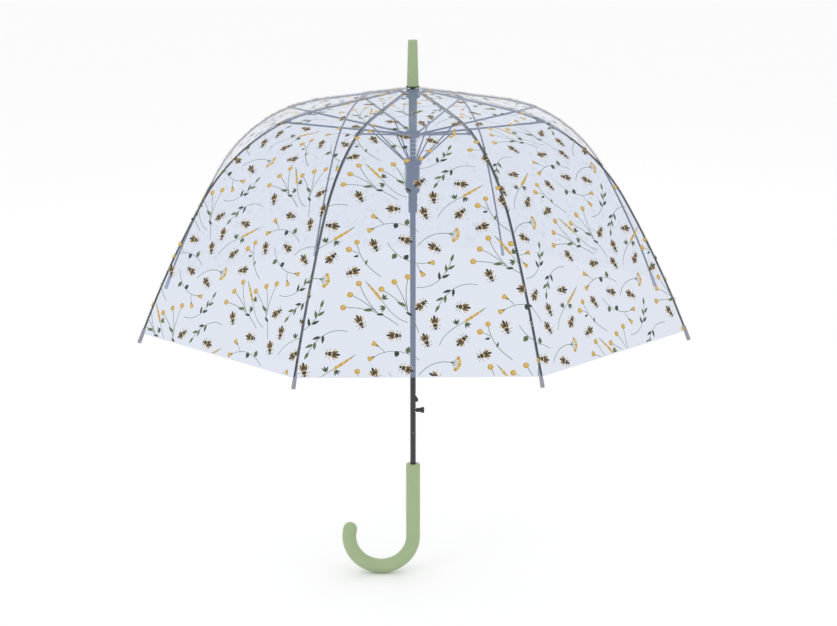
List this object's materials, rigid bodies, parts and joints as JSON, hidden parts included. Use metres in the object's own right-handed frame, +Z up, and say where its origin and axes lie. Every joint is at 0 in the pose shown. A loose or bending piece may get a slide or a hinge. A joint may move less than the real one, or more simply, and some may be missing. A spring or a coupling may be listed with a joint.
{
  "type": "dome stick umbrella",
  "caption": "Open clear dome umbrella on a straight shaft, with a hooked handle, hinged ribs and stretchers, and a push-button opener.",
  "frame": {"origin": "on the shaft's axis, in the middle of the handle's straight grip, where a hand holds it", "axes": "+Z up the shaft towards the ferrule; -X towards the open end of the crook; the release button faces +X"},
  "size_m": [0.775, 0.775, 0.8171],
  "materials": {
    "shaft": "satin black lacquer",
    "ribs": "satin black lacquer",
    "black_plastic": "satin moulded black",
    "green_plastic": "satin sage green",
    "tip_plastic": "smooth grey",
    "wire": "bright wire",
    "film": "clear flexible film with printed flowers and bees"
  },
  "bodies": {
    "root": {"shaft": "shaft", "handle": "green_plastic", "ferrule": "green_plastic", "crown_washer": "black_plastic", "crown_notch": "black_plastic", "notch_pins": "wire", "stop_sleeve": "black_plastic", "catch_pivot": "wire", "canopy": "film"},
    "rib_upper_1": {"rib_upper_1": "ribs"},
    "rib_upper_2": {"rib_upper_2": "ribs"},
    "rib_upper_3": {"rib_upper_3": "ribs"},
    "rib_upper_4": {"rib_upper_4": "ribs"},
    "rib_upper_5": {"rib_upper_5": "ribs"},
    "rib_upper_6": {"rib_upper_6": "ribs"},
    "rib_upper_7": {"rib_upper_7": "ribs"},
    "rib_upper_8": {"rib_upper_8": "ribs"},
    "rib_lower_1": {"rib_lower_1": "ribs", "rib_tip_1": "tip_plastic"},
    "rib_lower_2": {"rib_lower_2": "ribs", "rib_tip_2": "tip_plastic"},
    "rib_lower_3": {"rib_lower_3": "ribs", "rib_tip_3": "tip_plastic"},
    "rib_lower_4": {"rib_lower_4": "ribs", "rib_tip_4": "tip_plastic"},
    "rib_lower_5": {"rib_lower_5": "ribs", "rib_tip_5": "tip_plastic"},
    "rib_lower_6": {"rib_lower_6": "ribs", "rib_tip_6": "tip_plastic"},
    "rib_lower_7": {"rib_lower_7": "ribs", "rib_tip_7": "tip_plastic"},
    "rib_lower_8": {"rib_lower_8": "ribs", "rib_tip_8": "tip_plastic"},
    "stretcher_1": {"stretcher_1": "ribs"},
    "stretcher_2": {"stretcher_2": "ribs"},
    "stretcher_3": {"stretcher_3": "ribs"},
    "stretcher_4": {"stretcher_4": "ribs"},
    "stretcher_5": {"stretcher_5": "ribs"},
    "stretcher_6": {"stretcher_6": "ribs"},
    "stretcher_7": {"stretcher_7": "ribs"},
    "stretcher_8": {"stretcher_8": "ribs"},
    "hub": {"stretcher_hub": "black_plastic", "hub_pins": "wire"},
    "runner": {"runner": "black_plastic", "runner_pins": "wire", "opening_spring": "wire"},
    "strut_1": {"strut_1": "ribs"},
    "strut_2": {"strut_2": "ribs"},
    "strut_3": {"strut_3": "ribs"},
    "strut_4": {"strut_4": "ribs"},
    "strut_5": {"strut_5": "ribs"},
    "strut_6": {"strut_6": "ribs"},
    "strut_7": {"strut_7": "ribs"},
    "strut_8": {"strut_8": "ribs"},
    "catch": {"catch_lever": "ribs", "release_button": "black_plastic"}
  },
  "joints": [
    {"name": "rib_fold_1", "type": "hinge", "parent": "root", "child": "rib_upper_1", "pos_m": [0.00344, -0.00831, 0.6205], "axis": [0.9239, 0.3827, 0], "range_deg": [0, 76.91], "stiffness_Nm_per_rad": 1.2, "springref_deg": -91.67, "deforming": ["canopy", "catch_lever"]},
    {"name": "rib_fold_2", "type": "hinge", "parent": "root", "child": "rib_upper_2", "pos_m": [0.00831, -0.00344, 0.6205], "axis": [0.3827, 0.9239, 0], "range_deg": [0, 76.91]},
    {"name": "rib_fold_3", "type": "hinge", "parent": "root", "child": "rib_upper_3", "pos_m": [0.00831, 0.00344, 0.6205], "axis": [-0.3827, 0.9239, 0], "range_deg": [0, 76.91]},
    {"name": "rib_fold_4", "type": "hinge", "parent": "root", "child": "rib_upper_4", "pos_m": [0.00344, 0.00831, 0.6205], "axis": [-0.9239, 0.3827, 0], "range_deg": [0, 76.91]},
    {"name": "rib_fold_5", "type": "hinge", "parent": "root", "child": "rib_upper_5", "pos_m": [-0.00344, 0.00831, 0.6205], "axis": [-0.9239, -0.3827, 0], "range_deg": [0, 76.91]},
    {"name": "rib_fold_6", "type": "hinge", "parent": "root", "child": "rib_upper_6", "pos_m": [-0.00831, 0.00344, 0.6205], "axis": [-0.3827, -0.9239, 0], "range_deg": [0, 76.91]},
    {"name": "rib_fold_7", "type": "hinge", "parent": "root", "child": "rib_upper_7", "pos_m": [-0.00831, -0.00344, 0.6205], "axis": [0.3827, -0.9239, 0], "range_deg": [0, 76.91]},
    {"name": "rib_fold_8", "type": "hinge", "parent": "root", "child": "rib_upper_8", "pos_m": [-0.00344, -0.00831, 0.6205], "axis": [0.9239, -0.3827, 0], "range_deg": [0, 76.91]},
    {"name": "rib_flex_1", "type": "hinge", "parent": "rib_upper_1", "child": "rib_lower_1", "pos_m": [0.07539, -0.182, 0.592], "axis": [-0.9239, -0.3827, 0], "range_deg": [0, 39.39]},
    {"name": "rib_flex_2", "type": "hinge", "parent": "rib_upper_2", "child": "rib_lower_2", "pos_m": [0.182, -0.07539, 0.592], "axis": [-0.3827, -0.9239, 0], "range_deg": [0, 39.39]},
    {"name": "rib_flex_3", "type": "hinge", "parent": "rib_upper_3", "child": "rib_lower_3", "pos_m": [0.182, 0.07539, 0.592], "axis": [0.3827, -0.9239, 0], "range_deg": [0, 39.39]},
    {"name": "rib_flex_4", "type": "hinge", "parent": "rib_upper_4", "child": "rib_lower_4", "pos_m": [0.07539, 0.182, 0.592], "axis": [0.9239, -0.3827, 0], "range_deg": [0, 39.39]},
    {"name": "rib_flex_5", "type": "hinge", "parent": "rib_upper_5", "child": "rib_lower_5", "pos_m": [-0.07539, 0.182, 0.592], "axis": [0.9239, 0.3827, 0], "range_deg": [0, 39.39]},
    {"name": "rib_flex_6", "type": "hinge", "parent": "rib_upper_6", "child": "rib_lower_6", "pos_m": [-0.182, 0.07539, 0.592], "axis": [0.3827, 0.9239, 0], "range_deg": [0, 39.39]},
    {"name": "rib_flex_7", "type": "hinge", "parent": "rib_upper_7", "child": "rib_lower_7", "pos_m": [-0.182, -0.07539, 0.592], "axis": [-0.3827, 0.9239, 0], "range_deg": [0, 39.39]},
    {"name": "rib_flex_8", "type": "hinge", "parent": "rib_upper_8", "child": "rib_lower_8", "pos_m": [-0.07539, -0.182, 0.592], "axis": [-0.9239, 0.3827, 0], "range_deg": [0, 39.39]},
    {"name": "stretcher_fold_1", "type": "hinge", "parent": "rib_upper_1", "child": "stretcher_1", "pos_m": [0.07539, -0.182, 0.592], "axis": [-0.9239, -0.3827, 0], "range_deg": [0, 153.81]},
    {"name": "stretcher_fold_2", "type": "hinge", "parent": "rib_upper_2", "child": "stretcher_2", "pos_m": [0.182, -0.07539, 0.592], "axis": [-0.3827, -0.9239, 0], "range_deg": [0, 153.81]},
    {"name": "stretcher_fold_3", "type": "hinge", "parent": "rib_upper_3", "child": "stretcher_3", "pos_m": [0.182, 0.07539, 0.592], "axis": [0.3827, -0.9239, 0], "range_deg": [0, 153.81]},
    {"name": "stretcher_fold_4", "type": "hinge", "parent": "rib_upper_4", "child": "stretcher_4", "pos_m": [0.07539, 0.182, 0.592], "axis": [0.9239, -0.3827, 0], "range_deg": [0, 153.81]},
    {"name": "stretcher_fold_5", "type": "hinge", "parent": "rib_upper_5", "child": "stretcher_5", "pos_m": [-0.07539, 0.182, 0.592], "axis": [0.9239, 0.3827, 0], "range_deg": [0, 153.81]},
    {"name": "stretcher_fold_6", "type": "hinge", "parent": "rib_upper_6", "child": "stretcher_6", "pos_m": [-0.182, 0.07539, 0.592], "axis": [0.3827, 0.9239, 0], "range_deg": [0, 153.81]},
    {"name": "stretcher_fold_7", "type": "hinge", "parent": "rib_upper_7", "child": "stretcher_7", "pos_m": [-0.182, -0.07539, 0.592], "axis": [-0.3827, 0.9239, 0], "range_deg": [0, 153.81]},
    {"name": "stretcher_fold_8", "type": "hinge", "parent": "rib_upper_8", "child": "stretcher_8", "pos_m": [-0.07539, -0.182, 0.592], "axis": [-0.9239, 0.3827, 0], "range_deg": [0, 153.81]},
    {"name": "hub_hinge", "type": "hinge", "parent": "stretcher_1", "child": "hub", "pos_m": [0.00344, -0.00831, 0.5635], "axis": [0.9239, 0.3827, 0], "range_deg": [0, 76.91]},
    {"name": "runner_slide", "type": "slide", "parent": "hub", "child": "runner", "axis": [0, 0, 1], "range_m": [0, 0.02418], "deforming": ["opening_spring"]},
    {"name": "strut_fold_1", "type": "hinge", "parent": "runner", "child": "strut_1", "pos_m": [0.0044, -0.01063, 0.5235], "axis": [-0.9239, -0.3827, 0], "range_deg": [0, 46.05]},
    {"name": "strut_fold_2", "type": "hinge", "parent": "runner", "child": "strut_2", "pos_m": [0.01063, -0.0044, 0.5235], "axis": [-0.3827, -0.9239, 0], "range_deg": [0, 46.05]},
    {"name": "strut_fold_3", "type": "hinge", "parent": "runner", "child": "strut_3", "pos_m": [0.01063, 0.0044, 0.5235], "axis": [0.3827, -0.9239, 0], "range_deg": [0, 46.05]},
    {"name": "strut_fold_4", "type": "hinge", "parent": "runner", "child": "strut_4", "pos_m": [0.0044, 0.01063, 0.5235], "axis": [0.9239, -0.3827, 0], "range_deg": [0, 46.05]},
    {"name": "strut_fold_5", "type": "hinge", "parent": "runner", "child": "strut_5", "pos_m": [-0.0044, 0.01063, 0.5235], "axis": [0.9239, 0.3827, 0], "range_deg": [0, 46.05]},
    {"name": "strut_fold_6", "type": "hinge", "parent": "runner", "child": "strut_6", "pos_m": [-0.01063, 0.0044, 0.5235], "axis": [0.3827, 0.9239, 0], "range_deg": [0, 46.05]},
    {"name": "strut_fold_7", "type": "hinge", "parent": "runner", "child": "strut_7", "pos_m": [-0.01063, -0.0044, 0.5235], "axis": [-0.3827, 0.9239, 0], "range_deg": [0, 46.05]},
    {"name": "strut_fold_8", "type": "hinge", "parent": "runner", "child": "strut_8", "pos_m": [-0.0044, -0.01063, 0.5235], "axis": [-0.9239, 0.3827, 0], "range_deg": [0, 46.05]},
    {"name": "release_press", "type": "hinge", "parent": "root", "child": "catch", "pos_m": [0, 0, 0.1085], "axis": [0, -1, 0], "range_deg": [0, 3.9], "stiffness_Nm_per_rad": 0.6, "springref_deg": -5.73}
  ],
  "couplings": [
    {"joint": "rib_fold_1", "follows": "runner_slide", "rad_per_m": 55.477},
    {"joint": "rib_fold_2", "follows": "runner_slide", "rad_per_m": 55.477},
    {"joint": "rib_fold_3", "follows": "runner_slide", "rad_per_m": 55.477},
    {"joint": "rib_fold_4", "follows": "runner_slide", "rad_per_m": 55.477},
    {"joint": "rib_fold_5", "follows": "runner_slide", "rad_per_m": 55.477},
    {"joint": "rib_fold_6", "follows": "runner_slide", "rad_per_m": 55.477},
    {"joint": "rib_fold_7", "follows": "runner_slide", "rad_per_m": 55.477},
    {"joint": "rib_fold_8", "follows": "runner_slide", "rad_per_m": 55.477},
    {"joint": "rib_flex_1", "follows": "runner_slide", "rad_per_m": 28.399},
    {"joint": "rib_flex_2", "follows": "runner_slide", "rad_per_m": 28.399},
    {"joint": "rib_flex_3", "follows": "runner_slide", "rad_per_m": 28.399},
    {"joint": "rib_flex_4", "follows": "runner_slide", "rad_per_m": 28.399},
    {"joint": "rib_flex_5", "follows": "runner_slide", "rad_per_m": 28.399},
    {"joint": "rib_flex_6", "follows": "runner_slide", "rad_per_m": 28.399},
    {"joint": "rib_flex_7", "follows": "runner_slide", "rad_per_m": 28.399},
    {"joint": "rib_flex_8", "follows": "runner_slide", "rad_per_m": 28.399},
    {"joint": "stretcher_fold_1", "follows": "runner_slide", "rad_per_m": 110.95},
    {"joint": "stretcher_fold_2", "follows": "runner_slide", "rad_per_m": 110.95},
    {"joint": "stretcher_fold_3", "follows": "runner_slide", "rad_per_m": 110.95},
    {"joint": "stretcher_fold_4", "follows": "runner_slide", "rad_per_m": 110.95},
    {"joint": "stretcher_fold_5", "follows": "runner_slide", "rad_per_m": 110.95},
    {"joint": "stretcher_fold_6", "follows": "runner_slide", "rad_per_m": 110.95},
    {"joint": "stretcher_fold_7", "follows": "runner_slide", "rad_per_m": 110.95},
    {"joint": "stretcher_fold_8", "follows": "runner_slide", "rad_per_m": 110.95},
    {"joint": "hub_hinge", "follows": "runner_slide", "rad_per_m": 55.477},
    {"joint": "strut_fold_1", "follows": "runner_slide", "rad_per_m": 33.202},
    {"joint": "strut_fold_2", "follows": "runner_slide", "rad_per_m": 33.202},
    {"joint": "strut_fold_3", "follows": "runner_slide", "rad_per_m": 33.202},
    {"joint": "strut_fold_4", "follows": "runner_slide", "rad_per_m": 33.202},
    {"joint": "strut_fold_5", "follows": "runner_slide", "rad_per_m": 33.202},
    {"joint": "strut_fold_6", "follows": "runner_slide", "rad_per_m": 33.202},
    {"joint": "strut_fold_7", "follows": "runner_slide", "rad_per_m": 33.202},
    {"joint": "strut_fold_8", "follows": "runner_slide", "rad_per_m": 33.202}
  ]
}
